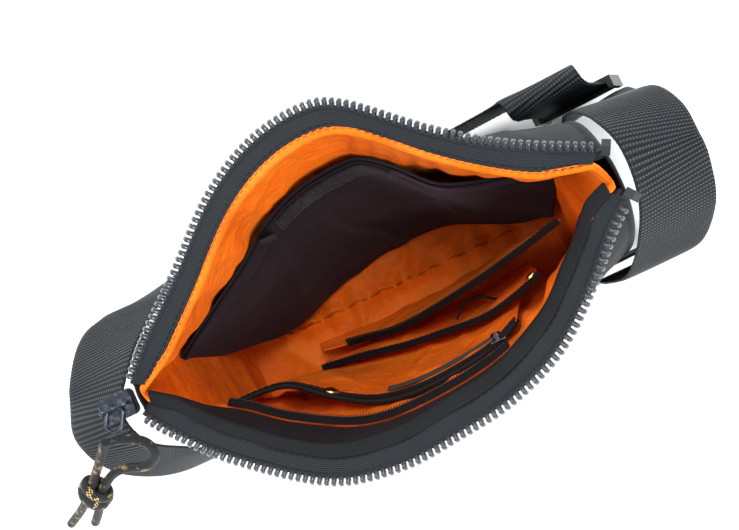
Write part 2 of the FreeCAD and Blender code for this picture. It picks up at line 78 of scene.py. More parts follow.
def cross(a, b):
    return (a[1] * b[2] - a[2] * b[1], a[2] * b[0] - a[0] * b[2], a[0] * b[1] - a[1] * b[0])


def dot(a, b):
    return sum(p * q for p, q in zip(a, b))


def unit(a):
    size = math.sqrt(dot(a, a)) or 1.0
    return tuple(p / size for p in a)


class Curve:
    """A smooth curve through given points, asked for by its share of the length."""

    STEPS = 16

    def __init__(self, points):
        first = tuple(2 * a - b for a, b in zip(points[0], points[1]))
        last = tuple(2 * a - b for a, b in zip(points[-1], points[-2]))
        padded = [first] + list(points) + [last]
        self.points = []
        for i in range(len(points) - 1):
            for step in range(self.STEPS):
                self.points.append(self.between(padded[i:i + 4], step / self.STEPS))
        self.points.append(tuple(points[-1]))
        self.lengths = [0.0]
        for a, b in zip(self.points, self.points[1:]):
            self.lengths.append(self.lengths[-1] + math.dist(a, b))
        self.length = self.lengths[-1]

    @staticmethod
    def between(four, t):
        return tuple(0.5 * (2 * b + (c - a) * t + (2 * a - 5 * b + 4 * c - d) * t * t
                            + (3 * b - a - 3 * c + d) * t ** 3)
                     for a, b, c, d in zip(*four))

    def at(self, share):
        goal = max(0.0, min(1.0, share)) * self.length
        low, high = 0, len(self.lengths) - 1
        while high - low > 1:
            middle = (low + high) // 2
            if self.lengths[middle] <= goal:
                low = middle
            else:
                high = middle
        span = self.lengths[high] - self.lengths[low]
        return mix(self.points[low], self.points[high], (goal - self.lengths[low]) / span)


MOUTH = {1: Curve(BACK_MOUTH), -1: Curve(FRONT_MOUTH)}


def rim(side, u):
    """The line of teeth on one side of the mouth."""
    x, y = MOUTH[side].at(u)
    return (x, y, RIM_HEIGHT + RIM_RISE * x)


def seam(side, u, inset=0.0):
    """Where the zip tape is sewn to the panel and the lining: inside and below the teeth."""
    x, y, z = rim(side, u)
    reach = abs(y) - COLLAR * min(1.0, abs(y) / (2 * COLLAR))
    return (x * 0.965, side * (reach - inset), z - COLLAR_DROP)


def bezier(four, t):
    k = 1 - t
    weights = (k ** 3, 3 * k * k * t, 3 * k * t * t, t ** 3)
    return tuple(sum(w * p[i] for w, p in zip(weights, four)) for i in range(3))


def swell(u):
    return max(0.0, math.sin(math.pi * u)) ** 0.6


def shell_wall(side, u, t):
    """Outer fabric: t runs from the base to the zip seam."""
    x, y, z = rim(side, u)
    along = BASE_HALF_LENGTH * (2 * u - 1)
    belly = 34 + 20 * swell(u) if side > 0 else 36 + 26 * swell(u)
    rings = ((along, side * BASE_HALF_DEPTH, 0.9),
             (along * 1.08, side * belly, BELLY_HEIGHT),
             (along * 0.5 + x * 0.52, side * (28 + 0.55 * abs(y)), NECK_HEIGHT + 0.6 * RIM_RISE * x),
             seam(side, u))
    return bezier(rings, t)


def lining_wall(side, u, t):
    """Orange lining: it hangs loose inside the outer fabric, and further in at the ends."""
    x, y, z = rim(side, u)
    along = (BASE_HALF_LENGTH - 3) * (2 * u - 1)
    neck_x = along * 0.55 + x * (0.46 if x < 0 else 0.32)
    rings = ((along, side * (BASE_HALF_DEPTH - 3), 4.0),
             (along * 1.02, side * (29 + 17 * swell(u)), BELLY_HEIGHT),
             (neck_x, side * (14 + 0.72 * abs(y)), NECK_HEIGHT + 0.6 * RIM_RISE * x),
             seam(side, u, 1.9))
    return bezier(rings, t)


def end_wall(wall, end, y_share, t, bulge):
    """The gusset between the front and back edges at one end (0 left, 1 right)."""
    front = wall(-1, end, t)
    back = wall(1, end, t)
    out = -1 if end == 0 else 1
    middle = mix(front, back, y_share)
    return plus(middle, (out, 0, 0), bulge * math.sin(math.pi * y_share) * math.sin(math.pi * t))


# ================================================================ materials
class Shader:
    """A small helper that strings shader nodes together."""

    def __init__(self, name, rough=0.6, metallic=0.0, specular=0.4, sheen=0.0, coat=0.0):
        self.material = bpy.data.materials.new(name)
        self.material.use_nodes = True
        self.tree = self.material.node_tree
        self.bsdf = self.tree.nodes["Principled BSDF"]
        self.bsdf.inputs["Roughness"].default_value = rough
        self.bsdf.inputs["Metallic"].default_value = metallic
        self.bsdf.inputs["Specular IOR Level"].default_value = specular
        self.bsdf.inputs["Sheen Weight"].default_value = sheen
        self.bsdf.inputs["Coat Weight"].default_value = coat
        coordinates = self.tree.nodes.new("ShaderNodeTexCoord")
        self.uv = coordinates.outputs["UV"]
        self.place = coordinates.outputs["Object"]

    def put(self, socket, value):
        if isinstance(value, bpy.types.NodeSocket):
            self.tree.links.new(value, socket)
        else:
            socket.default_value = value

    def sheen_look(self, tint, rough):
        self.bsdf.inputs["Sheen Tint"].default_value = (*tint, 1)
        self.bsdf.inputs["Sheen Roughness"].default_value = rough

    def math(self, operation, a, b=0.0, clamp=False):
        node = self.tree.nodes.new("ShaderNodeMath")
        node.operation = operation
        node.use_clamp = clamp
        self.put(node.inputs[0], a)
        self.put(node.inputs[1], b)
        return node.outputs[0]

    def split(self, vector):
        node = self.tree.nodes.new("ShaderNodeSeparateXYZ")
        self.put(node.inputs[0], vector)
        return node.outputs

    def noise(self, vector, size_mm, detail=3.0, rough=0.5, warp=0.0):
        node = self.tree.nodes.new("ShaderNodeTexNoise")
        self.put(node.inputs["Vector"], vector)
        node.inputs["Scale"].default_value = 1 / (size_mm * MM)
        node.inputs["Detail"].default_value = detail
        node.inputs["Roughness"].default_value = rough
        node.inputs["Distortion"].default_value = warp
        return node.outputs["Fac"]

    def wave(self, coordinate, pitch_mm):
        """A 0..1 ripple along one coordinate given in metres."""
        angle = self.math("MULTIPLY", coordinate, 2 * math.pi / (pitch_mm * MM))
        halved = self.math("MULTIPLY", self.math("SINE", angle), 0.5)
        return self.math("ADD", halved, 0.5)

    def ramp(self, value, stops):
        node = self.tree.nodes.new("ShaderNodeValToRGB")
        ramp = node.color_ramp
        while len(ramp.elements) < len(stops):
            ramp.elements.new(0.5)
        for element, (place, colour) in zip(ramp.elements, stops):
            element.position = place
            element.color = (*colour, 1)
        self.put(node.inputs[0], value)
        return node.outputs[0]

    def blend(self, share, a, b, mode="MIX"):
        node = self.tree.nodes.new("ShaderNodeMix")
        node.data_type = "RGBA"
        node.blend_type = mode
        self.put(node.inputs["Factor"], share)
        for socket, value in ((node.inputs[6], a), (node.inputs[7], b)):
            if isinstance(value, tuple):
                value = (*value, 1)
            self.put(socket, value)
        return node.outputs[2]

    def colour(self, value):
        if isinstance(value, tuple):
            value = (*value, 1)
        self.put(self.bsdf.inputs["Base Color"], value)

    def roughness(self, value):
        self.put(self.bsdf.inputs["Roughness"], value)

    def bump(self, height, depth_mm, strength=1.0, under=None):
        node = self.tree.nodes.new("ShaderNodeBump")
        node.inputs["Distance"].default_value = depth_mm * MM
        node.inputs["Strength"].default_value = strength
        self.put(node.inputs["Height"], height)
        if under is not None:
            self.put(node.inputs["Normal"], under)
        self.tree.links.new(node.outputs[0], self.bsdf.inputs["Normal"])
        return node.outputs[0]


def orange_nylon():
    s = Shader("orange_nylon", rough=0.55, specular=0.16, sheen=0.03)
    s.sheen_look((1.0, 0.6, 0.3), 0.4)
    u, v, _ = s.split(s.uv)
    mottled = s.noise(s.place, 26, 4)
    base = s.ramp(mottled, [(0.25, (0.74, 0.125, 0.006)), (0.5, (0.95, 0.185, 0.009)),
                            (0.75, (1.0, 0.235, 0.018))])
    weave = s.math("MULTIPLY", s.wave(u, 0.55), s.wave(v, 0.55))
    s.colour(s.blend(s.math("MULTIPLY", weave, 0.18), base, (0.62, 0.10, 0.004)))
    s.roughness(s.math("ADD", s.math("MULTIPLY", mottled, 0.2), 0.36))
    creases = s.noise(s.place, 11, 5, 0.6, 0.9)
    soft = s.bump(creases, 2.2, 0.8)
    s.bump(weave, 0.06, 0.5, soft)
    return s.material


def black_cloth(name, dark, light, grain_mm, rough, sheen, tint, diagonal=False, lint=0.0):
    s = Shader(name, rough=rough, specular=0.22, sheen=sheen)
    s.sheen_look(tint, 0.45)
    u, v, _ = s.split(s.uv)
    if diagonal:
        weave = s.wave(s.math("ADD", u, v), grain_mm)
    else:
        weave = s.math("MULTIPLY", s.wave(u, grain_mm), s.wave(v, grain_mm))
    fluff = s.noise(s.place, 0.9, 4, 0.7)
    patch = s.noise(s.place, 18, 3)
    shade = s.math("MULTIPLY", s.math("ADD", weave, fluff), 0.5)
    worn = s.ramp(shade, [(0.2, dark), (0.8, light)])
    lifted = s.math("MULTIPLY", s.math("SUBTRACT", patch, 0.45, clamp=True), 1.5 * lint, clamp=True)
    s.colour(s.blend(lifted, worn, tuple(2.4 * c + 0.008 for c in light)))
    s.roughness(s.math("ADD", s.math("MULTIPLY", patch, 0.22), rough - 0.1))
    soft = s.bump(s.noise(s.place, 7, 4, 0.6), 0.8, 0.5)
    s.bump(shade, 0.16, 0.8, soft)
    return s.material


def webbing_cloth():
    """Ribbed webbing: ribs run across, with a bead where each warp yarn crosses one."""
    s = Shader("webbing", rough=0.5, specular=0.3, sheen=0.04)
    s.sheen_look((0.6, 0.75, 0.85), 0.35)
    u, v, _ = s.split(s.uv)
    row = s.wave(u, RIB_PITCH)
    bead = s.wave(v, 1.55)
    edge = s.noise(s.place, 1.3, 3, 0.6)
    top = s.math("MULTIPLY", row, s.math("ADD", s.math("MULTIPLY", bead, 0.6), 0.4))
    # painted highlight: rib and bead tops are coloured lighter in the ramp below, standing in for light
    # catching the raised yarn
    lit = s.math("ADD", s.math("MULTIPLY", top, 0.8), s.math("MULTIPLY", edge, 0.25))
    patch = s.noise(s.place, 24, 3)
    base = s.ramp(lit, [(0.22, (0.003, 0.004, 0.005)), (0.55, (0.014, 0.018, 0.021)),
                        (0.95, (0.085, 0.105, 0.12))])
    s.colour(s.blend(s.math("MULTIPLY", patch, 0.35), base, (0.008, 0.010, 0.012)))
    s.roughness(s.math("SUBTRACT", 0.62, s.math("MULTIPLY", top, 0.22)))
    s.bump(top, 0.45, 0.9)
    return s.material


def tape_cloth():
    s = Shader("zip_tape_weave", rough=0.7, specular=0.2, sheen=0.06)
    s.sheen_look((0.6, 0.7, 0.8), 0.5)
    u, v, _ = s.split(s.uv)
    ribs = s.wave(v, 0.9)
    cross_grain = s.wave(s.math("ADD", u, s.math("MULTIPLY", v, 0.6)), 0.7)
    weave = s.math("MULTIPLY", ribs, s.math("ADD", s.math("MULTIPLY", cross_grain, 0.5), 0.5))
    patch = s.noise(s.place, 14, 4)
    base = s.ramp(weave, [(0.1, (0.006, 0.0075, 0.009)), (0.9, (0.032, 0.039, 0.045))])
    s.colour(s.blend(s.math("MULTIPLY", patch, 0.4), base, (0.018, 0.022, 0.026)))
    s.bump(weave, 0.18, 0.8)
    return s.material


def moulded(name, colour, rough, coat=0.3, grain=0.4):
    s = Shader(name, rough=rough, specular=0.55, coat=coat)
    patch = s.noise(s.place, 3, 3)
    s.colour(s.blend(s.math("MULTIPLY", patch, 0.5), colour, tuple(0.6 * c for c in colour)))
    s.roughness(s.math("ADD", s.math("MULTIPLY", patch, 0.25), rough - 0.1))
    s.bump(s.noise(s.place, 0.6, 3), 0.04, grain)
    return s.material


def metal(name, colour, rough, worn):
    s = Shader(name, rough=rough, metallic=1.0, specular=0.5)
    patch = s.noise(s.place, 2.2, 4, 0.6)
    rubbed = s.math("MULTIPLY", s.math("SUBTRACT", patch, 0.5, clamp=True), 2.4, clamp=True)
    s.colour(s.blend(rubbed, colour, worn))
    s.roughness(s.math("ADD", s.math("MULTIPLY", patch, 0.3), rough - 0.12))
    s.bump(s.noise(s.place, 0.35, 2), 0.02, 0.4)
    return s.material


def braided_cord():
    """Black sheath in a diamond braid, with a few gold tracer picks."""
    s = Shader("braided_cord", rough=0.4, specular=0.4, sheen=0.05)
    u, v, _ = s.split(s.uv)
    one = s.wave(s.math("ADD", u, v), 1.5)
    two = s.wave(s.math("SUBTRACT", u, v), 1.5)
    plait = s.math("MAXIMUM", one, two)
    fine = s.noise(s.place, 0.5, 2)
    base = s.ramp(plait, [(0.45, (0.0015, 0.0015, 0.002)), (1.0, (0.012, 0.013, 0.015))])
    fleck = s.noise(s.place, 3.2, 1, 0.4)
    gold = s.math("GREATER_THAN", s.math("MULTIPLY", fleck, plait), 0.60)
    s.colour(s.blend(gold, base, (0.75, 0.52, 0.16)))
    s.bump(s.math("ADD", plait, s.math("MULTIPLY", fine, 0.3)), 0.35, 0.9)
    return s.material


def floor_look():
    s = Shader("studio_floor", rough=0.9, specular=0.2)
    s.colour(s.blend(s.noise(s.place, 400, 2), (0.90, 0.90, 0.90), (0.93, 0.93, 0.93)))
    return s.material


RIB_PITCH = 2.1
ORANGE = orange_nylon()
WEBBING = webbing_cloth()
TAPE = tape_cloth()
OUTER = black_cloth("outer_nylon", (0.003, 0.0035, 0.0045), (0.013, 0.015, 0.018), 0.8, 0.72,
                    0.06, (0.55, 0.6, 0.65), lint=0.35)
POCKET = black_cloth("brushed_pocket", (0.0018, 0.0014, 0.0022), (0.0062, 0.0052, 0.0075), 0.7, 0.78,
                     0.10, (0.55, 0.45, 0.62), lint=0.12)
HOOK = black_cloth("hook_tape", (0.002, 0.002, 0.0025), (0.024, 0.023, 0.026), 1.3, 0.85, 0.12,
                   (0.6, 0.6, 0.65), lint=0.5)
TWILL = black_cloth("twill_facing", (0.0015, 0.0018, 0.0022), (0.0075, 0.0085, 0.0105), 1.1, 0.75,
                    0.02, (0.6, 0.62, 0.7), diagonal=True, lint=0.22)
BINDING = black_cloth("binding_tape", (0.0015, 0.0015, 0.002), (0.007, 0.0075, 0.0085), 0.6, 0.6,
                      0.05, (0.6, 0.6, 0.65), lint=0.05)
LABEL = black_cloth("label_tape", (0.03, 0.032, 0.028), (0.07, 0.075, 0.066), 0.7, 0.6, 0.1,
                    (0.7, 0.7, 0.7), lint=0.1)
TEETH = moulded("zip_teeth", (0.032, 0.039, 0.047), 0.24)
PLASTIC = moulded("black_plastic", (0.010, 0.011, 0.012), 0.42, 0.1)
GUNMETAL = metal("gunmetal", (0.055, 0.064, 0.080), 0.34, (0.26, 0.29, 0.34))
BRASS = metal("brass", (0.80, 0.58, 0.20), 0.22, (0.95, 0.76, 0.36))
THREAD = black_cloth("black_thread", (0.004, 0.004, 0.005), (0.022, 0.024, 0.027), 0.3, 0.6, 0.05,
                     (0.6, 0.6, 0.6))
ORANGE_THREAD = black_cloth("orange_thread", (0.45, 0.07, 0.004), (0.75, 0.14, 0.01), 0.3, 0.6, 0.05,
                            (1.0, 0.6, 0.3))
CORD = braided_cord()


# ================================================================ mesh makers
def add_object(name, mesh, material, body):
    thing = bpy.data.objects.new(name, mesh)
    bpy.context.scene.collection.objects.link(thing)
    mesh.materials.append(material)
    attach(thing, body)
    return thing


def smooth(mesh):
    mesh.polygons.foreach_set("use_smooth", [True] * len(mesh.polygons))


def normal_at(surface, u, v):
    step = 0.004
    low_u, high_u = max(0.0, u - step), min(1.0, u + step)
    low_v, high_v = max(0.0, v - step), min(1.0, v + step)
    along = minus(surface(high_u, v), surface(low_u, v))
    up = minus(surface(u, high_v), surface(u, low_v))
    return unit(cross(along, up))


def run_length(surface, u0, v0, u1, v1, steps=24):
    places = [surface(u0 + (u1 - u0) * i / steps, v0 + (v1 - v0) * i / steps)
              for i in range(steps + 1)]
    return sum(math.dist(a, b) for a, b in zip(places, places[1:]))


def grid_faces(rows, columns, closed=False):
    faces = []
    for i in range(rows - 1):
        for j in range(columns if closed else columns - 1):
            k = (j + 1) % columns
            faces.append((i * columns + j, (i + 1) * columns + j, (i + 1) * columns + k,
                          i * columns + k))
    return faces


def set_uv(mesh, uv_of_vertex):
    layer = mesh.uv_layers.new(name="UVMap")
    for loop in mesh.loops:
        layer.data[loop.index].uv = uv_of_vertex[loop.vertex_index]


def add_mesh(name, places, faces, uvs, material, body="bag"):
    mesh = bpy.data.meshes.new(name)
    mesh.from_pydata(places, [], faces)
    set_uv(mesh, uvs)
    smooth(mesh)
    return add_object(name, mesh, material, body)


def capped_faces(rows, columns):
    """The faces that join rings into a bar, with both ends shut."""
    faces = grid_faces(rows, columns, closed=True)
    faces.append(tuple(reversed(range(columns))))
    faces.append(tuple(range((rows - 1) * columns, rows * columns)))
    return faces


def steps_along(start, span, steps=12):
    return [start + span * i / steps for i in range(steps + 1)]


def raised(surface, u, v, lift):
    return plus(surface(u, v), normal_at(surface, u, v), lift)


def cloth(name, surface, across, up, material, low, high, relief=None, rounds=1):
    """A fabric sheet between two offsets (mm) from a surface, with relief(u, v, place) added."""
    middle = (low + high) / 2
    width = run_length(surface, 0, 0.5, 1, 0.5) * MM
    height = run_length(surface, 0.5, 0, 0.5, 1) * MM
    places, uvs = [], []
    for i in range(across + 1):
        for j in range(up + 1):
            u, v = i / across, j / up
            place = surface(u, v)
            lift = middle + (relief(u, v, place) if relief else 0.0)
            place = plus(place, normal_at(surface, u, v), lift)
            places.append(Vector(place) * MM)
            uvs.append((u * width, v * height))
    thing = add_mesh(name, places, grid_faces(across + 1, up + 1), uvs, material)
    thick = thing.modifiers.new("thickness", "SOLIDIFY")
    thick.thickness = (high - low) * MM
    thick.offset = 0.0
    if rounds:
        soften = thing.modifiers.new("soften", "SUBSURF")
        soften.levels = soften.render_levels = rounds
    return thing


def tube(name, path, radius, material, body="bag", sides=10, profile=None, closed=False):
    """A round bar along a list of places (mm); profile(share) scales its radius."""
    rings, uvs = [], []
    count = len(path)
    total = 0.0
    reference = Vector((0, 0, 1))
    for i, place in enumerate(path):
        before = path[i - 1] if i > 0 or closed else path[0]
        after = path[(i + 1) % count] if i < count - 1 or closed else path[-1]
        along = (Vector(after) - Vector(before)).normalized()
        side = along.cross(reference)
        if side.length < 1e-4:
            side = along.cross(Vector((1, 0, 0)))
        side.normalize()
        reference = side.cross(along).normalized()
        if i:
            total += math.dist(path[i - 1], place) * MM
        size = radius * (profile(i / (count - 1)) if profile else 1.0)
        for k in range(sides):
            angle = 2 * math.pi * k / sides
            offset = side * math.cos(angle) * size + reference * math.sin(angle) * size
            rings.append((Vector(place) + offset) * MM)
            uvs.append((total, angle * radius * MM))
    if closed:
        faces = grid_faces(count, sides, closed=True)
        for k in range(sides):
            j = (k + 1) % sides
            faces.append(((count - 1) * sides + k, k, j, (count - 1) * sides + j))
    else:
        faces = capped_faces(count, sides)
    thing = add_mesh(name, rings, faces, uvs, material, body)
    thing.data.validate()
    return thing


def join(name, things):
    """Join meshes made by this script into one piece."""
    bpy.ops.object.select_all(action="DESELECT")
    for thing in things:
        thing.select_set(True)
    bpy.context.view_layer.objects.active = things[0]
    bpy.ops.object.join()
    things[0].name = name
    return things[0]


def ridged(place, size, seed=0.0):
    """Sharp-crested creases, 0..1."""
    value = noise.noise(Vector(place) / size + Vector((seed, seed * 1.7, -seed)))
    return 1 - min(1.0, abs(value) * 2.4)


def soft_noise(place, size, seed=0.0):
    return noise.noise(Vector(place) / size + Vector((seed, -seed, seed * 0.6)))


def edge_fade(share, width=0.12):
    """0 at both ends of a share, 1 in between."""
    return max(0.0, min(1.0, share / width, (1 - share) / width))


FINE_STITCH = (2.2, 0.9, 0.2)


def stitches(name, points, length=2.6, gap=0.9, radius=0.22, material=THREAD):
    """A row of thread stitches through places (mm)."""
    line = Curve(points)
    count = int(line.length / (length + gap))
    places, faces = [], []
    for i in range(count):
        a = Vector(line.at((i * (length + gap) + gap / 2) / line.length))
        b = Vector(line.at((i * (length + gap) + gap / 2 + length) / line.length))
        along = (b - a).normalized()
        side = along.orthogonal().normalized()
        other = along.cross(side)
        start = len(places)
        for share, size in ((0.0, 0.45), (0.25, 1.0), (0.75, 1.0), (1.0, 0.45)):
            for k in range(6):
                angle = math.pi * k / 3
                offset = (side * math.cos(angle) + other * math.sin(angle)) * radius * size
                places.append((a.lerp(b, share) + offset) * MM)
        for r in range(3):
            for k in range(6):
                j = (k + 1) % 6
                faces.append((start + r * 6 + k, start + (r + 1) * 6 + k,
                              start + (r + 1) * 6 + j, start + r * 6 + j))
        faces.append(tuple(start + k for k in range(5, -1, -1)))
        faces.append(tuple(start + 18 + k for k in range(6)))
    return add_mesh(name, places, faces, [(p.x, p.y) for p in places], material)


# ================================================================ outer fabric
def shell_relief(side):
    def relief(u, v, place):
        fade = edge_fade(u, 0.08) * edge_fade(v, 0.10)
        creases = ridged((place[0], place[1], place[2] * 0.6), 46, 3.0 + side) ** 3
        sag = soft_noise(place, 60, 9.0)
        return side * -1.0 * fade * (1.6 * sag + 1.5 * creases - 0.8)
    return relief


def outer_fabric():
    for side, name in ((1, "back_panel"), (-1, "front_panel")):
        low, high = (-1.4, 0.0) if side > 0 else (0.0, 1.4)

        def panel(u, v, side=side):
            return shell_wall(side, u, v * 0.985)

        piece = cloth(name + "_fabric", panel, 72, 60, OUTER, low, high, shell_relief(side))
        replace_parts(piece, name)
        for v in (0.955, 0.93):
            row = [raised(panel, u, v, low if side > 0 else high) for u in steps_along(0.02, 0.96)]
            stitches(f"{name}_stitch_{int(100 * v)}", row)
    for end, name in ((0, "left_gusset"), (1, "right_gusset")):
        low, high = (-2.4, -1.0) if end == 0 else (1.0, 2.4)

        def gusset(u, v, end=end):
            return end_wall(shell_wall, end, u, 0.01 + 0.95 * v, 4.0)

        def relief(u, v, place, end=end):
            fade = edge_fade(u, 0.2) * edge_fade(v, 0.1)
            return (1 if end else -1) * fade * (1.4 * soft_noise(place, 30, 5.0)
                                                + 1.3 * ridged(place, 34, 2.0) ** 3 - 0.6)

        piece = cloth(name + "_fabric", gusset, 24, 60, OUTER, low, high, relief)
        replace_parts(piece, name)


def corner_seams():
    """The rolled seams where the gussets meet the panels, and round the base."""
    for end, x_name in ((0, "left"), (1, "right")):
        for side, y_name in ((1, "back"), (-1, "front")):
            out = (-1 if end == 0 else 1, side * 0.8, 0)
            path = [plus(shell_wall(side, end, 0.02 + 0.94 * i / 40), out, 0.6) for i in range(41)]
            tube(f"seam_{x_name}_{y_name}", path, 1.9, OUTER, sides=10)
    count = 60
    edge = [shell_wall(1, i / count, 0.012) for i in range(count + 1)]
    edge += [shell_wall(-1, 1 - i / count, 0.012) for i in range(count + 1)]
    path = [(x, y, 1.8) for x, y, z in edge]
    tube("seam_base", path, 1.4, OUTER, sides=8, closed=True)


# ================================================================ lining, by cloth simulation
def lining_ring(t, count):
    """One closed ring of the lining at height share t, as places in mm."""
    ring = []
    side_count = count // 2
    for side in (1, -1):
        for i in range(side_count):
            u = i / side_count if side > 0 else 1 - i / side_count
            ring.append(lining_wall(side, u, t))
    return ring


def room(place):
    """How freely the lining may hang in from its wall: hardly at all behind the front facing."""
    near_facing = place[1] < 0 and place[2] > 138
    return 0.12 if near_facing else 1.0


def relax(thing, frames, pin_group, slack, cap_mm):
    """Let a piece hang for a few frames as cloth, then cap how far any point moved."""
    start = [v.co.copy() for v in thing.data.vertices]
    cloth_modifier = thing.modifiers.new("Cloth", "CLOTH")
    settings = cloth_modifier.settings
    settings.quality = 6
    settings.mass = 0.12
    settings.tension_stiffness = 18
    settings.compression_stiffness = 18
    settings.shear_stiffness = 6
    settings.bending_stiffness = 0.06
    settings.vertex_group_mass = pin_group
    settings.shrink_min = -slack
    settings.shrink_max = -slack
    cloth_modifier.collision_settings.use_collision = False
    cloth_modifier.collision_settings.use_self_collision = False
    scene = bpy.context.scene
    cloth_modifier.point_cache.frame_start = 1
    cloth_modifier.point_cache.frame_end = frames
    for number in range(1, frames + 1):
        scene.frame_set(number)
    graph = bpy.context.evaluated_depsgraph_get()
    moved = thing.evaluated_get(graph).to_mesh()
    places = [v.co.copy() for v in moved.vertices]
    thing.evaluated_get(graph).to_mesh_clear()
    thing.modifiers.remove(cloth_modifier)
    for vertex, old, new in zip(thing.data.vertices, start, places):
        shift = new - old
        outward = Vector((old.x * 0.3, old.y, 0)).normalized()
        shift -= outward * max(0.0, shift.dot(outward))
        shift *= room(old / MM)
        limit = cap_mm * MM
        if shift.length > limit:
            shift = shift.normalized() * (limit + 0.25 * (shift.length - limit))
            if shift.length > 1.3 * limit:
                shift = shift.normalized() * 1.3 * limit
        vertex.co = old + shift
    scene.frame_set(1)
    thing.data.update()


LINING_COUNT = 176
LINING_LEVELS = 60
FLOOR_RINGS = 12
HANG_FRAMES = 22
HANG_SLACK = 0.05
HANG_LIMIT = 5.0


def lining_hem_ring():
    """The lining's top edge, turned out onto the zip tape."""
    half = LINING_COUNT // 2
    ring = []
    for side in (1, -1):
        for i in range(half):
            u = i / half if side > 0 else 1 - i / half
            ring.append(plus(seam(side, u, -1.4), (0, 0, 1), 1.7))
    return ring


def crumple(place, depth):
    """How far a loose spot of the lining stands in from its smooth wall."""
    broad = 0.5 + 0.5 * soft_noise(place, 34, 4.0)
    crests = ridged((place[0], place[1], 0.7 * place[2]), 30, 1.0) ** 3
    small = ridged(place, 13, 7.0) ** 3
    return depth * room(place) * (1.8 * broad + 2.6 * crests + 1.2 * small)


def lining_wall_rings():
    rings = [lining_hem_ring()]
    for j in range(LINING_LEVELS + 1):
        share = j / LINING_LEVELS
        ring = []
        for place in lining_ring(0.995 - 0.985 * share, LINING_COUNT):
            inward = unit((-place[0] * 0.3, -place[1], 0))
            fade = edge_fade(share, 0.10)
            ring.append(plus(place, inward, 0.2 + fade * crumple(place, 0.35 + 0.65 * share)))
        rings.append(ring)
    return rings


def lining_floor_rings():
    """Rings that close in on a gathered seam along the middle of the floor."""
    rings = []
    edge = lining_ring(0.01, LINING_COUNT)
    for k in range(1, FLOOR_RINGS + 1):
        left = 1 - k / FLOOR_RINGS
        ring = []
        for place in edge:
            x = place[0] * (0.72 + 0.28 * left)
            ruffle = math.sin(x / 2.3) * math.exp(-((left - 0.12) / 0.16) ** 2)
            ridge = 4.5 * math.exp(-(left / 0.12) ** 2)
            z = 4.6 + ridge + 1.6 * ruffle + crumple((x, place[1] * left, 5), 1.3 * min(1, 3 * left))
            ring.append((x, place[1] * left * 0.98 + 0.8 * ruffle, z))
        rings.append(ring)
    return rings


def lining():
    """The orange bag inside the bag: walls from the zip seam to the floor, one closed loop."""
    count = LINING_COUNT
    rings = lining_wall_rings() + lining_floor_rings()
    places = [Vector(place) * MM for ring in rings for place in ring]
    uvs = [(i / count * 0.52, j * 0.0032) for j in range(len(rings)) for i in range(count)]
    faces = grid_faces(len(rings), count, closed=True)
    last = (len(rings) - 1) * count
    for i in range(count // 2):
        mirror = last + (count - i) % count
        faces.append((last + i, last + i + 1, last + count - i - 1, mirror))
    mesh = bpy.data.meshes.new("lining")
    mesh.from_pydata(places, [], faces)
    mesh.validate()
    set_uv(mesh, uvs)
    smooth(mesh)
    thing = add_object("lining", mesh, ORANGE, "bag")
    group = thing.vertex_groups.new(name="held")
    wall_rings = LINING_LEVELS + 2
    held = list(range(0, count * 3)) + list(range(count * (wall_rings - 1), count * len(rings)))
    group.add(held, 1.0, "REPLACE")
    relax(thing, HANG_FRAMES, "held", HANG_SLACK, HANG_LIMIT)
    thick = thing.modifiers.new("thickness", "SOLIDIFY")
    thick.thickness = 0.5 * MM
    thick.offset = 0.0
    soften = thing.modifiers.new("soften", "SUBSURF")
    soften.levels = soften.render_levels = 1
    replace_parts(thing, "back_lining", "front_lining", "left_gusset_lining", "right_gusset_lining",
                "base_lining")
    for side, name in ((1, "back"), (-1, "front")):
        row = [plus(seam(side, u, -0.4), (0, 0, 1), 1.65) for u in steps_along(0.02, 0.96)]
        stitches(f"lining_stitch_{name}", row, *FINE_STITCH, material=ORANGE_THREAD)


# ================================================================ main zip
def tape_surface(side, u, v):
    share = 0.02 + 0.96 * u
    return mix(seam(side, share), rim(side, share), 0.02 + 0.98 * v)


def tooth_frame(side, share):
    step = 0.004
    along = unit(minus(rim(side, share + step), rim(side, share - step)))
    out = unit(minus(rim(side, share), seam(side, share)))
    out = unit(plus(out, along, -dot(out, along)))
    return along, out, cross(along, out)


# Half outline of one moulded tooth: reach away from the tape, and half width along it.
TOOTH_OUTLINE = [(-1.6, 0.70), (-1.1, 0.88), (0.0, 0.80), (0.5, 0.66), (0.9, 0.74), (1.3, 0.84),
                 (1.65, 0.66), (1.8, 0.30)]


def add_tooth(places, faces, centre, along, out, up):
    loop = TOOTH_OUTLINE + [(a, -b) for a, b in reversed(TOOTH_OUTLINE)]
    start = len(places)
    for height, size in ((-1.35, 0.62), (-1.15, 0.95), (0.0, 1.05), (1.15, 0.95), (1.35, 0.62)):
        for a, b in loop:
            place = plus(plus(centre, out, a * (0.9 + 0.1 * size)), along, b * size * 1.12)
            places.append(Vector(plus(place, up, height)) * MM)
    n = len(loop)
    for r in range(4):
        for k in range(n):
            j = (k + 1) % n
            faces.append((start + r * n + k, start + r * n + j, start + (r + 1) * n + j,
                          start + (r + 1) * n + k))
    faces.append(tuple(start + k for k in range(n - 1, -1, -1)))
    faces.append(tuple(start + 4 * n + k for k in range(n)))


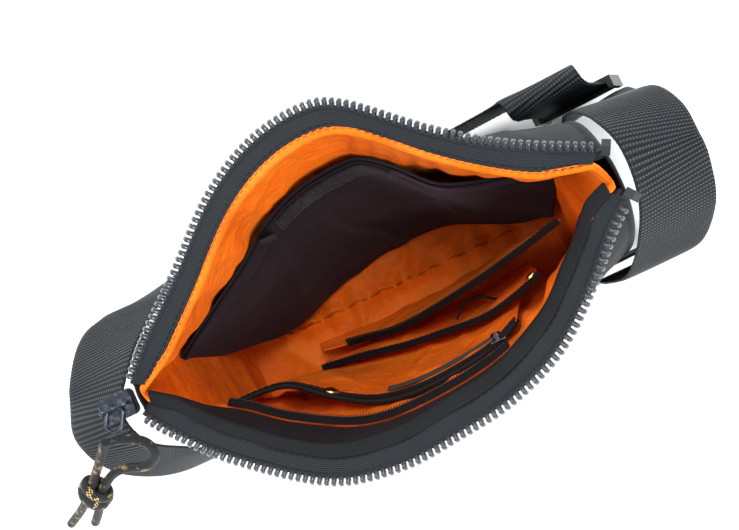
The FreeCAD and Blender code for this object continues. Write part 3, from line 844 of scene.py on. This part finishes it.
def main_zip():
    for side, name in ((1, "back"), (-1, "front")):

        def tape(u, v, side=side):
            return tape_surface(side, u, v * 0.90)

        def relief(u, v, place):
            return 0.35 * soft_noise(place, 14, 8.0)

        piece = cloth(name + "_tape", tape, 110, 8, TAPE, -0.5, 0.5, relief, rounds=0)
        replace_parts(piece, name + "_zip_tape")
        bead_line = [tape(i / 90, 0.93) for i in range(91)]
        tube(name + "_tape_bead", bead_line, 0.95, TAPE, sides=8)
        for row, v in enumerate((0.16, 0.30)):
            line = [raised(tape, u, v, 0.62 * side) for u in steps_along(0.01, 0.98)]
            stitches(f"{name}_tape_stitch_{row}", line, *FINE_STITCH)
        places, faces = [], []
        length = MOUTH[side].length
        for i in range(int((length - 12) / TOOTH_PITCH)):
            share = (8 + i * TOOTH_PITCH) / length
            along, out, up = tooth_frame(side, share)
            add_tooth(places, faces, plus(rim(side, share), out, 0.2), along, out, up)
        piece = add_mesh(name + "_teeth", places, faces, [(p.x, p.y) for p in places], TEETH)
        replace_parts(piece, name + "_zip_teeth")


# ================================================================ pull cord
STRAND_A = [(-118.5, -12.8, 178.0), (-112.0, -15.0, 178.0), (-107.5, -19.5, 176.0),
            (-108.0, -25.5, 173.0), (-114.0, -28.0, 170.0), (-121.5, -25.5, 167.0),
            (-129.0, -24.0, 163.5), (-137.0, -26.5, 158.0), (-145.5, -31.5, 149.0),
            (-152.0, -37.0, 139.5), (-159.5, -41.5, 131.0)]
STRAND_B = [(-123.3, -11.6, 177.6), (-127.0, -14.5, 174.5), (-133.0, -18.5, 168.0),
            (-140.0, -22.5, 159.5), (-148.0, -27.0, 149.5), (-156.0, -31.5, 140.0),
            (-164.5, -35.0, 131.0), (-173.0, -38.0, 123.5)]
KNOT_CENTRE = (-146.8, -29.3, 149.3)
KNOT_AXIS = unit((-8.0, -4.5, -9.5))


def nurbs_line(name, points, radius, material, body):
    data = bpy.data.curves.new(name, "CURVE")
    data.dimensions = "3D"
    spline = data.splines.new("NURBS")
    spline.points.add(len(points) - 1)
    for point, place in zip(spline.points, points):
        point.co = (*(Vector(place) * MM), 1)
    spline.order_u = 3
    spline.use_endpoint_u = True
    spline.resolution_u = 12
    data.bevel_depth = radius * MM
    data.bevel_resolution = 4
    data.use_fill_caps = True
    return add_object(name, data, material, body)


def knot():
    """Three wraps round both strands."""
    axis = Vector(KNOT_AXIS)
    side = axis.cross(Vector((0, 0, 1))).normalized()
    other = axis.cross(side)
    turns = []
    for wrap, (start, wide, tall, lean) in enumerate(((-4.6, 5.6, 4.2, 0.5), (-0.6, 6.0, 4.6, -0.35),
                                                      (3.6, 5.4, 4.0, 0.4))):
        path = []
        for k in range(24):
            angle = 2 * math.pi * k / 24
            place = Vector(KNOT_CENTRE) + axis * (start + lean * 3 * math.sin(angle))
            place += side * wide * math.cos(angle) + other * tall * math.sin(angle)
            path.append(tuple(place))
        turns.append(tube(f"knot_wrap_{wrap}", path, 2.0, CORD, "pull", sides=12, closed=True))
    piece = join("cord_knot", turns)
    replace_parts(piece, "pull_knot")
    return piece


def pull_cord():
    wraps = knot()
    for name, route, length in (("a", STRAND_A, 0.090), ("b", STRAND_B, 0.078)):
        strand = nurbs_line("cord_strand_" + name, route, 2.0, CORD, "pull")
        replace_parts(strand, "pull_cord_" + name)


# ================================================================ strap
RIGHT_STRAP = [((114, -44, 16), (1, 0, 0)), ((115, -45, 50), (1, 0, 0)),
               ((119.5, -43, 92), (1, 0, -0.15)), ((124.5, -29, 132), (1, -0.05, -0.35)),
               ((128, -12, 150), (1, -0.08, -0.5)), ((129, 5, 153), (1, -0.1, -0.5)),
               ((128.5, 20, 139), (1, -0.12, -0.35)), ((128.5, 31, 106), (1, -0.12, -0.1)),
               ((129, 36, 64), (1, -0.1, 0)), ((130, 39, 32), (1, 0.1, 0)), ((131, 41, 5), (1, 0.15, 0))]
LEFT_STRAP = [((131, 46.5, 9), (0.92, 0, 0.36)), ((125, 46.5, 24), (0.92, 0, 0.36)),
              ((118, 46.5, 41.5), (0.92, 0, 0.36)), ((110, 46.5, 61.5), (0.92, 0, 0.36)),
              ((106.5, 47.6, 69.5), (0.95, 0.05, 0.3)), ((104.8, 50.4, 73.5), (0.97, 0.08, 0.2)),
              ((104, 54, 73.5), (0.99, 0.08, 0.1)), ((103.6, 57, 69), (1, 0.03, 0.03)),
              ((103, 58.2, 61), (1, 0, -0.05)), ((101, 58.5, 50), (0.93, 0, -0.37)),
              ((95, 58.5, 40), (0.72, 0, -0.7)), ((85, 58.5, 33.5), (0.4, 0, -0.92)),
              ((72, 58.3, 30.5), (0.12, 0, -1)), ((50, 58, 26), (0.15, 0, -1)),
              ((20, 57.5, 21.5), (0.08, 0, -1)), ((-35, 57, 20.5), (0, 0, -1)),
              ((-78, 56, 22), (-0.1, 0, -1)),
              ((-103, 53, 34), (-0.6, 0, -0.8)), ((-111, 47, 58), (-1, 0, -0.3)),
              ((-115, 42, 88), (-1, 0.1, -0.25)), ((-119.5, 33, 118), (-0.95, 0.2, -0.4)),
              ((-126, 16, 143), (-0.85, 0.15, -0.5)), ((-133, -2, 151), (-0.8, 0, -0.55)),
              ((-131, -17, 145), (-0.8, 0, -0.6)), ((-124, -30, 120), (-1, 0, -0.4)),
              ((-117, -38, 84), (-1, 0, -0.2)), ((-113, -41, 48), (-1, 0, 0)), ((-113, -41, 16), (-1, 0, 0))]


def webbing_strip(name, stations, node, across=20):
    """Ribbed webbing along listed stations, each a place and the way its width points."""
    places = Curve([place for place, _ in stations])
    shares = []
    for place, _ in stations:
        nearest = min(range(len(places.points)), key=lambda i: math.dist(places.points[i], place))
        shares.append(places.lengths[nearest] / places.length)
    rings = int(places.length / RIB_PITCH * 4)
    points, uvs = [], []
    outline = [(-1 + 2 * k / across, 1) for k in range(across + 1)]
    outline += [(1 - 2 * k / across, -1) for k in range(across + 1)]
    for i in range(rings + 1):
        share = i / rings
        k = max(j for j in range(len(shares)) if shares[j] <= share + 1e-9)
        k = min(k, len(shares) - 2)
        blend = (share - shares[k]) / (shares[k + 1] - shares[k])
        wide = mix(stations[k][1], stations[k + 1][1], blend * blend * (3 - 2 * blend))
        along = unit(minus(places.at(share + 0.004), places.at(share - 0.004)))
        wide = unit(plus(wide, along, -dot(wide, along)))
        thick = cross(along, wide)
        run = share * places.length
        rib = 0.16 * math.sin(2 * math.pi * run / RIB_PITCH)
        for a, b in outline:
            rounded = 0.55 + 0.45 * math.sqrt(max(0.0, 1 - abs(a) ** 8))
            cup = 0.5 * (a * a - 0.4) * math.sin(run / 23.0)
            place = plus(places.at(share), wide, a * WEBBING_WIDTH / 2)
            points.append(Vector(plus(place, thick, b * (0.75 + rib) * rounded + cup)) * MM)
            uvs.append((run * MM, (a + (0 if b > 0 else 3)) * WEBBING_WIDTH / 2 * MM))
    piece = add_mesh(name, points, capped_faces(rings + 1, len(outline)), uvs, WEBBING)
    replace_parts(piece, node)


def strap():
    webbing_strip("webbing_right", RIGHT_STRAP, "strap_right")
    webbing_strip("webbing_long", LEFT_STRAP, "strap_long")


# ================================================================ pockets on the back wall
BACK_POCKET_TOP = Curve([(-99, 8, 120), (-80, 19, 125), (-53, 34, 130), (-35, 46, 133),
                         (-16, 53, 136), (4, 55, 138), (16, 53, 138), (27, 44, 137),
                         (40, 30, 135), (56, 23, 134), (72, 19, 137), (88, 12, 142)])
BACK_POCKET_FOOT = Curve([(-92, 4, 60), (-60, 4, 18), (-27, 14, 10), (5, 19, 9),
                          (38, 17, 10), (68, 4, 30), (84, -4, 80)])


def back_pocket_surface(u, v):
    low, high = BACK_POCKET_FOOT.at(u), BACK_POCKET_TOP.at(u)
    sag = 5.0 * math.sin(math.pi * v) * swell(u)
    return plus(mix(low, high, v), (0, 1, 0), -sag * 0.4)


def pocket_relief(u, v, place):
    fade = edge_fade(u, 0.06) * (1 - v ** 6)
    return fade * (1.8 * soft_noise(place, 34, 6.0) + 1.6 * ridged((place[0], place[1], place[2] * 0.5),
                                                                   40, 2.0) ** 3)


def back_pocket():
    piece = cloth("pocket_back", back_pocket_surface, 90, 50, POCKET, 0.0, 0.9, pocket_relief)
    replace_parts(piece, "back_pocket_panel")

    def hem(u, v):
        return back_pocket_surface(0.01 + 0.98 * u, 0.90 + 0.09 * v)

    piece = cloth("pocket_back_hem", hem, 100, 4, POCKET, 1.6, 2.4,
                  lambda u, v, p: 0.3 * soft_noise(p, 8, 2.0))
    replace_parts(piece, "back_pocket_hem")

    def strip(u, v):
        return back_pocket_surface(0.37 + 0.29 * u, 0.905 + 0.075 * v)

    piece = cloth("hook_tape_strip", strip, 120, 24, HOOK, 2.8, 4.0,
                  lambda u, v, p: 0.55 * noise.noise(Vector(p) / 1.1), rounds=0)
    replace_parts(piece, "hook_strip")


# ================================================================ pockets on the front wall
FACING_FOOT = Curve([(-94, -15, 152), (-75, -26, 150), (-56, -40.5, 150), (-30, -54, 150),
                     (-4, -56.5, 152), (30, -52.5, 155), (54, -42.5, 157), (74, -26, 160),
                     (86, -12, 166)])
ZIP_POCKET_TOP = Curve([(-90, -21, 106), (-74, -21, 104), (-60, -24, 104), (-46, -35, 106),
                        (-28, -46, 109), (-8, -50, 112), (14, -49, 115), (32, -46, 118), (46, -40, 121)])
ZIP_POCKET_FOOT = Curve([(-86, -20, 40), (-50, -26, 12), (0, -27, 10), (40, -27, 12), (62, -24, 30)])
PEN_TOP = Curve([(-54, -24, 34), (-30, -27, 46), (-8, -31, 56), (14, -33, 68), (34, -34, 84),
                 (52, -30, 106), (64, -25, 124)])
PEN_FOOT = Curve([(-54, -22, 9), (0, -23, 7), (40, -22, 9), (66, -19, 30)])
DIVIDER_TOP = Curve([(-52, -16, 22), (-30, -19, 34), (-6, -22, 52), (31, -18, 90),
                     (58, -13, 120), (80, -8, 147)])
DIVIDER_FOOT = Curve([(-54, -12, 7), (-6, -14, 5), (40, -12, 9), (78, -8, 50)])


def facing_surface(u, v):
    share = 0.05 + 0.91 * u
    return mix(FACING_FOOT.at(u), seam(-1, share, 5.8), v)


def dressed_facing(u, v):
    """The facing from its foot up to the lining's hem, and turned out over the hem's edge."""
    foot = plus(FACING_FOOT.at(u), (0, 1, 0), 2.8)
    share = 0.02 + 0.96 * u
    shoulder = plus(seam(-1, share, 4.2), (0, 0, 1), 0.6)
    edge = plus(seam(-1, share, -1.9), (0, 0, 1), 2.6)
    if v < 0.8:
        return mix(foot, shoulder, v / 0.8)
    return mix(shoulder, edge, (v - 0.8) / 0.2)


def zip_pocket_surface(u, v):
    return mix(ZIP_POCKET_FOOT.at(u), ZIP_POCKET_TOP.at(u), v)


def pen_surface(u, v):
    return mix(PEN_FOOT.at(u), PEN_TOP.at(u), v)


def divider_surface(u, v):
    return mix(DIVIDER_FOOT.at(u), DIVIDER_TOP.at(u), v)


def pocket_zip_line(u, v):
    share = 0.08 + 0.62 * u
    foot = facing_surface(share, 0.0)
    return (foot[0], foot[1] + 3.6 + 2.5 * (1 - v), foot[2] - 1.0 - 9.0 * (1 - v))


def folded_tape(name, surface, low, high, width, node, across=90):
    """Binding folded over the top edge of a sheet that lies between offsets low and high."""
    cloth_thickness = 0.7
    inner = (low - 0.4, high + 0.4)
    outer = (inner[0] - cloth_thickness, inner[1] + cloth_thickness)
    middle = (outer[0] + outer[1]) / 2
    half = (outer[1] - outer[0]) / 2
    outline = [(outer[0], width)]
    outline += [(outer[0], width * k / 3) for k in (2, 1)]
    outline += [(middle - half * math.cos(math.pi * k / 8), -half * math.sin(math.pi * k / 8))
                for k in range(9)]
    outline += [(outer[1], width * k / 3) for k in (1, 2, 3)]
    outline += [(inner[1], width), (inner[1], 0.2), (inner[0], 0.2), (inner[0], width)]
    points, uvs = [], []
    length = run_length(surface, 0, 1, 1, 1)
    for i in range(across + 1):
        u = i / across
        top = surface(u, 1.0)
        down = unit(minus(surface(u, 0.97), top))
        n = normal_at(surface, u, 1.0)
        ripple = 0.25 * math.sin(u * length / 3.1)
        for k, (a, b) in enumerate(outline):
            place = plus(plus(top, n, a), down, b * (1 + 0.04 * ripple))
            points.append(Vector(place) * MM)
            uvs.append((u * length * MM, k * 0.8 * MM))
    piece = add_mesh(name, points, capped_faces(across + 1, len(outline)), uvs, BINDING)
    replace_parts(piece, node)
    row = []
    for u in steps_along(0.01, 0.98):
        top = surface(u, 1.0)
        down = unit(minus(surface(u, 0.97), top))
        row.append(plus(plus(top, normal_at(surface, u, 1.0), outer[0] - 0.05), down, width * 0.78))
    stitches(name + "_stitch", row, *FINE_STITCH)


def loose_relief(seed, size=24.0, depth=1.6):
    def relief(u, v, place):
        fade = edge_fade(u, 0.05) * edge_fade(v, 0.08)
        return -fade * (depth * soft_noise(place, size, seed)
                        + depth * 0.9 * ridged(place, size * 1.2, seed + 1) ** 3)
    return relief


def front_pockets():
    piece = cloth("twill_facing_strip", dressed_facing, 110, 24, TWILL, -0.45, 0.45,
                  lambda u, v, p: -0.9 * edge_fade(v, 0.2) * soft_noise(p, 18, 3.0))
    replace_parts(piece, "front_facing")
    for name, node, surface, across, up, seed, flat in (
            ("pocket_zip_front", "zip_pocket_panel", zip_pocket_surface, 80, 40, 3.0, (0.165, 0.095)),
            ("pocket_pen", "pen_panel", pen_surface, 60, 30, 5.0, (0.135, 0.07)),
            ("divider_cloth", "divider_panel", divider_surface, 80, 40, 8.0, (0.165, 0.068))):
        piece = cloth(name, surface, across, up, ORANGE, -0.8, 0.0, loose_relief(seed))
        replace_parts(piece, node)
    folded_tape("zip_pocket_edge", zip_pocket_surface, -0.8, 0.0, 6.0, "zip_pocket_binding")
    folded_tape("pen_edge", pen_surface, -0.8, 0.0, 3.2, "pen_binding")

    def divider_edge(u, v):
        return divider_surface(0.09 + 0.90 * u, v)

    folded_tape("divider_edge", divider_edge, -0.8, 0.0, 6.0, "divider_binding")

    def label(u, v):
        return zip_pocket_surface(0.52 + 0.37 * u, 0.86 + 0.05 * v)

    piece = cloth("label_tape_strip", label, 40, 4, LABEL, -2.3, -1.4, None)
    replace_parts(piece, "label_strip")


def pocket_zip():
    piece = cloth("pocket_zip_weave", pocket_zip_line, 80, 6, TWILL, -0.5, 0.0, None)
    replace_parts(piece, "pocket_zip_tape")
    line = Curve([plus(pocket_zip_line(i / 14, 0.0), (0, 0, 1), -1.2) for i in range(15)])
    pitch = 1.25
    turns = int(line.length / pitch)
    path = []
    for i in range(turns * 8):
        share = i / (turns * 8)
        place = line.at(share)
        angle = 2 * math.pi * i / 8
        path.append(plus(plus(place, (0, 1, 0), 0.75 * math.cos(angle)), (0, 0, 1),
                         0.95 * math.sin(angle)))
    piece = tube("pocket_coil", path, 0.28, TEETH, sides=6)
    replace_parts(piece, "pocket_zip_coil")


def snaps():
    """Domed brass caps with a rolled rim."""
    caps = []
    profile = ((0.0, 3.6), (0.5, 3.7), (0.9, 3.4), (1.1, 2.8), (1.5, 2.2), (1.8, 1.2), (1.9, 0.05))
    for number, (surface, u) in enumerate(((zip_pocket_surface, 0.34), (pen_surface, 0.97))):
        place = surface(u, 0.975)
        out = unit(tuple(-n for n in normal_at(surface, u, 0.95)))
        path = [plus(place, out, 2.0 + height) for height, _ in profile]
        radii = [radius for _, radius in profile]

        def scale(share, radii=radii):
            return radii[round(share * (len(radii) - 1))]

        caps.append(tube(f"snap_{number}", path, 1.0, BRASS, sides=28, profile=scale))
    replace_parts(join("snaps", caps), "snap_caps")


def hardware():
    """Looks for the CAD pieces that are shown as they are."""
    for material, nodes in (
            (GUNMETAL, ("slider_body", "slider_bridge", "pull_tab", "pocket_slider", "pocket_pull")),
            (PLASTIC, ("strap_adjuster",)),
            (TEETH, ("zip_top_stops",)),
            (BINDING, ("corner_tab", "elastic_loop")),
            (OUTER, ("left_wing", "right_wing", "base_panel"))):
        for node in nodes:
            for slot in bpy.data.objects[node].material_slots:
                slot.material = material


# ================================================================ studio
TARGET = Vector((0, 0, 185)) * MM
DISTANCE = 0.430
SENSOR_WIDTH = 36.0
LENS = 54.463
LEAN_X = math.radians(5)
LEAN_Y = math.radians(-2)
ROLL = math.radians(25.2)
RAISE = math.radians(1.02)
FLOOR_REACH = 3.0
SKY_COLOUR = (0.92, 0.96, 1.0, 1)
SKY_STRENGTH = 0.62
# Each lamp's name, place (m), power (W) and size (m).
LAMPS = (("key", (0.35, -0.75, 1.25), 22, 0.7), ("fill", (-0.9, 0.6, 1.0), 9, 0.9),
         ("top", (0.25, 0.45, 1.5), 14, 0.6))


def studio():
    back = Vector((math.tan(LEAN_X), math.tan(LEAN_Y), 1)).normalized()
    place = TARGET + back * DISTANCE
    level = Vector((1, 0, 0))
    level = (level - back * level.dot(back)).normalized()
    upright = back.cross(level)
    right = math.cos(ROLL) * level - math.sin(ROLL) * upright
    up = math.sin(ROLL) * level + math.cos(ROLL) * upright
    back, up = (back * math.cos(RAISE) - up * math.sin(RAISE),
                up * math.cos(RAISE) + back * math.sin(RAISE))
    data = bpy.data.cameras.new("camera")
    data.sensor_width = SENSOR_WIDTH
    data.lens = LENS
    data.clip_start = 0.01
    camera = bpy.data.objects.new("camera", data)
    turn = Matrix((right, up, back)).transposed().to_4x4()
    camera.matrix_world = Matrix.Translation(place) @ turn
    bpy.context.scene.collection.objects.link(camera)
    bpy.context.scene.camera = camera

    mesh = bpy.data.meshes.new("studio_floor")
    corners = [(x * FLOOR_REACH, y * FLOOR_REACH, 0) for x, y in ((-1, -1), (1, -1), (1, 1), (-1, 1))]
    mesh.from_pydata(corners, [], [(0, 1, 2, 3)])
    floor = bpy.data.objects.new("studio_floor", mesh)
    bpy.context.scene.collection.objects.link(floor)
    mesh.materials.append(floor_look())

    world = bpy.data.worlds.new("world")
    world.use_nodes = True
    world.node_tree.nodes["Background"].inputs[0].default_value = SKY_COLOUR
    world.node_tree.nodes["Background"].inputs[1].default_value = SKY_STRENGTH
    bpy.context.scene.world = world
    for name, spot, power, size in LAMPS:
        lamp = bpy.data.lights.new(name, "AREA")
        lamp.energy = power
        lamp.size = size
        light = bpy.data.objects.new(name, lamp)
        light.location = spot
        light.rotation_euler = (Vector(spot) - Vector((0, 0, 0.1))).to_track_quat("Z", "Y").to_euler()
        bpy.context.scene.collection.objects.link(light)
    bpy.context.scene.view_settings.view_transform = "Standard"


studio()
outer_fabric()
corner_seams()
lining()
main_zip()
pull_cord()
strap()
back_pocket()
front_pockets()
pocket_zip()
snaps()
hardware()
